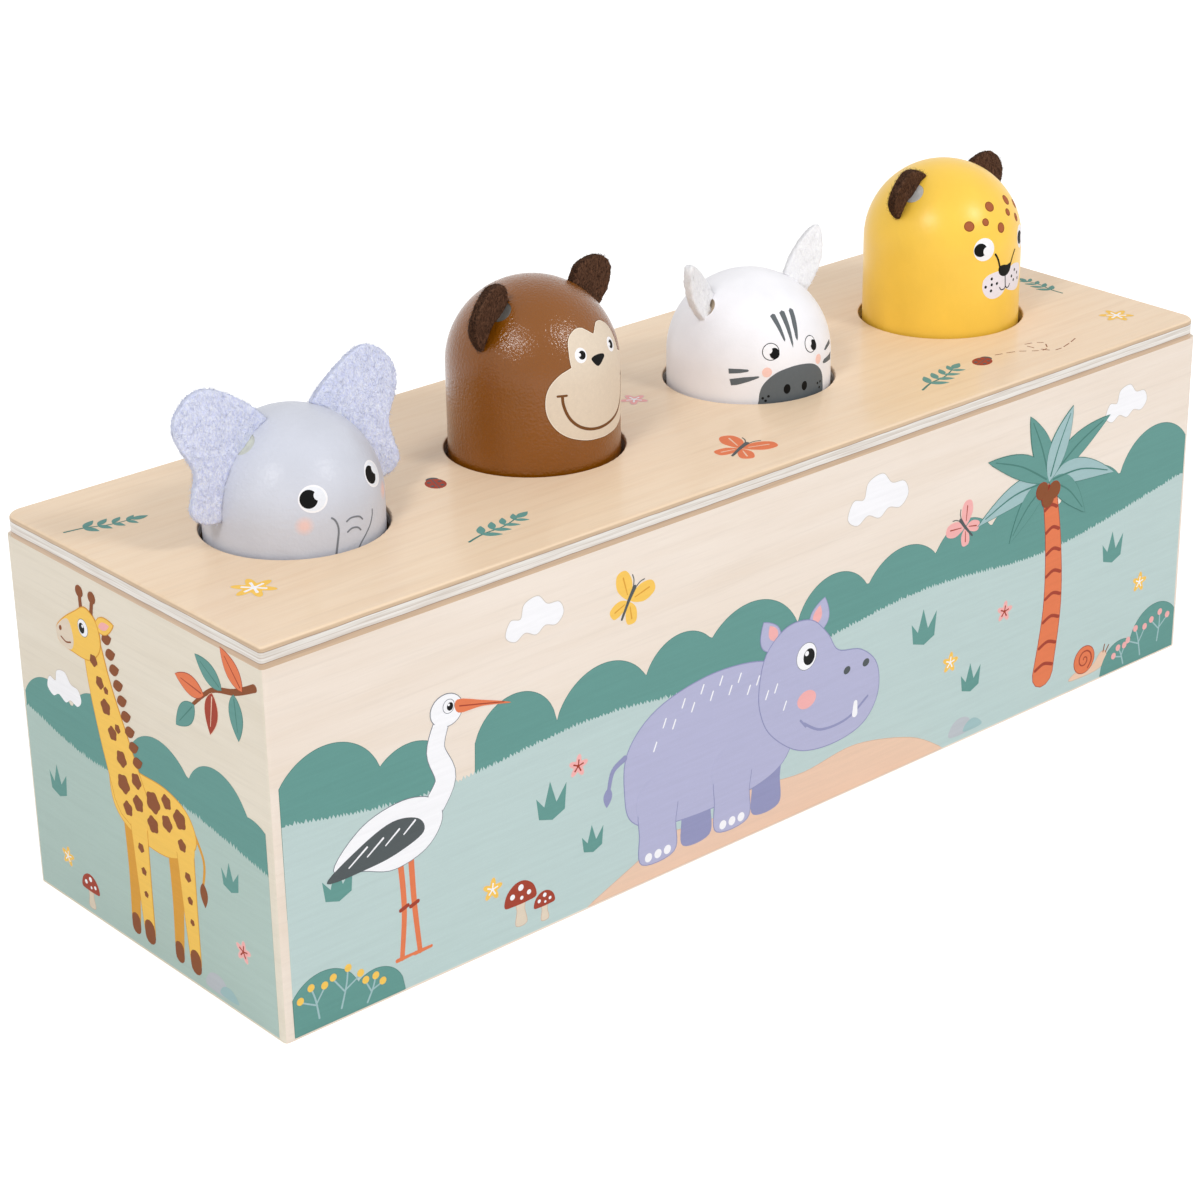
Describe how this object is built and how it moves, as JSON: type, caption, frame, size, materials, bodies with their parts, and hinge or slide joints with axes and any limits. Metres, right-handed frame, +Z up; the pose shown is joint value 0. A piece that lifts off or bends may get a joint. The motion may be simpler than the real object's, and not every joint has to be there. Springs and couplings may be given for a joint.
{
  "type": "pop up animal toy",
  "caption": "Wooden toy box with turned animal pegs in a row; pressing a raised animal down tips a hidden rocker and pops its neighbour up.",
  "frame": {"origin": "middle of the case's underside", "axes": "+X along the row of animals from elephant to leopard, -Y the way the animals look, +Z up"},
  "size_m": [0.3, 0.1, 0.1386],
  "materials": {
    "top_ply": "sanded plywood, clear matt lacquer, grain along the case",
    "printed_wall": "pale wood with a printed scene, matt",
    "plain_ply": "bare plywood",
    "block_wood": "bare sawn wood",
    "dowel_wood": "bare beech dowel",
    "screw_steel": "zinc plated",
    "elephant_paint": "turned wood, satin grey paint",
    "monkey_paint": "turned wood, glossy brown paint",
    "zebra_paint": "turned wood, satin white paint",
    "leopard_paint": "turned wood, satin yellow paint",
    "lavender_felt": "felt",
    "dark_felt": "felt",
    "white_felt": "felt"
  },
  "bodies": {
    "case": {"top_panel": "top_ply", "front_wall": "printed_wall", "back_wall": "printed_wall", "left_end_wall": "printed_wall", "right_end_wall": "printed_wall", "bottom_panel": "plain_ply", "bottom_screws": "screw_steel", "front_left_corner_block": "block_wood", "front_right_corner_block": "block_wood", "back_left_corner_block": "block_wood", "back_right_corner_block": "block_wood", "left_front_bearing_block": "block_wood", "left_back_bearing_block": "block_wood", "right_front_bearing_block": "block_wood", "right_back_bearing_block": "block_wood"},
    "elephant": {"elephant_head": "elephant_paint", "elephant_stem": "dowel_wood", "elephant_cross_pin": "dowel_wood", "elephant_left_ear": "lavender_felt", "elephant_right_ear": "lavender_felt"},
    "monkey": {"monkey_head": "monkey_paint", "monkey_stem": "dowel_wood", "monkey_cross_pin": "dowel_wood", "monkey_left_ear": "dark_felt", "monkey_right_ear": "dark_felt"},
    "zebra": {"zebra_head": "zebra_paint", "zebra_stem": "dowel_wood", "zebra_cross_pin": "dowel_wood", "zebra_left_ear": "white_felt", "zebra_right_ear": "white_felt"},
    "leopard": {"leopard_head": "leopard_paint", "leopard_stem": "dowel_wood", "leopard_cross_pin": "dowel_wood", "leopard_left_ear": "dark_felt", "leopard_right_ear": "dark_felt"},
    "left_rocker": {"left_rocker_arm": "plain_ply", "left_axle_dowel": "dowel_wood"},
    "right_rocker": {"right_rocker_arm": "plain_ply", "right_axle_dowel": "dowel_wood"}
  },
  "joints": [
    {"name": "elephant_slide", "type": "slide", "parent": "case", "child": "elephant", "axis": [0, 0, 1], "range_m": [0, 0.014]},
    {"name": "monkey_slide", "type": "slide", "parent": "case", "child": "monkey", "axis": [0, 0, 1], "range_m": [-0.014, 0]},
    {"name": "left_rocker_tip", "type": "hinge", "parent": "case", "child": "left_rocker", "pos_m": [-0.07, 0, 0.052], "axis": [0, 1, 0], "range_deg": [0, 22.62]},
    {"name": "zebra_slide", "type": "slide", "parent": "case", "child": "zebra", "axis": [0, 0, 1], "range_m": [0, 0.014]},
    {"name": "leopard_slide", "type": "slide", "parent": "case", "child": "leopard", "axis": [0, 0, 1], "range_m": [-0.014, 0]},
    {"name": "right_rocker_tip", "type": "hinge", "parent": "case", "child": "right_rocker", "pos_m": [0.07, 0, 0.052], "axis": [0, 1, 0], "range_deg": [0, 22.62]}
  ],
  "couplings": [
    {"joint": "monkey_slide", "follows": "elephant_slide", "ratio": -1},
    {"joint": "left_rocker_tip", "follows": "elephant_slide", "rad_per_m": 28.199},
    {"joint": "leopard_slide", "follows": "zebra_slide", "ratio": -1},
    {"joint": "right_rocker_tip", "follows": "zebra_slide", "rad_per_m": 28.199}
  ]
}
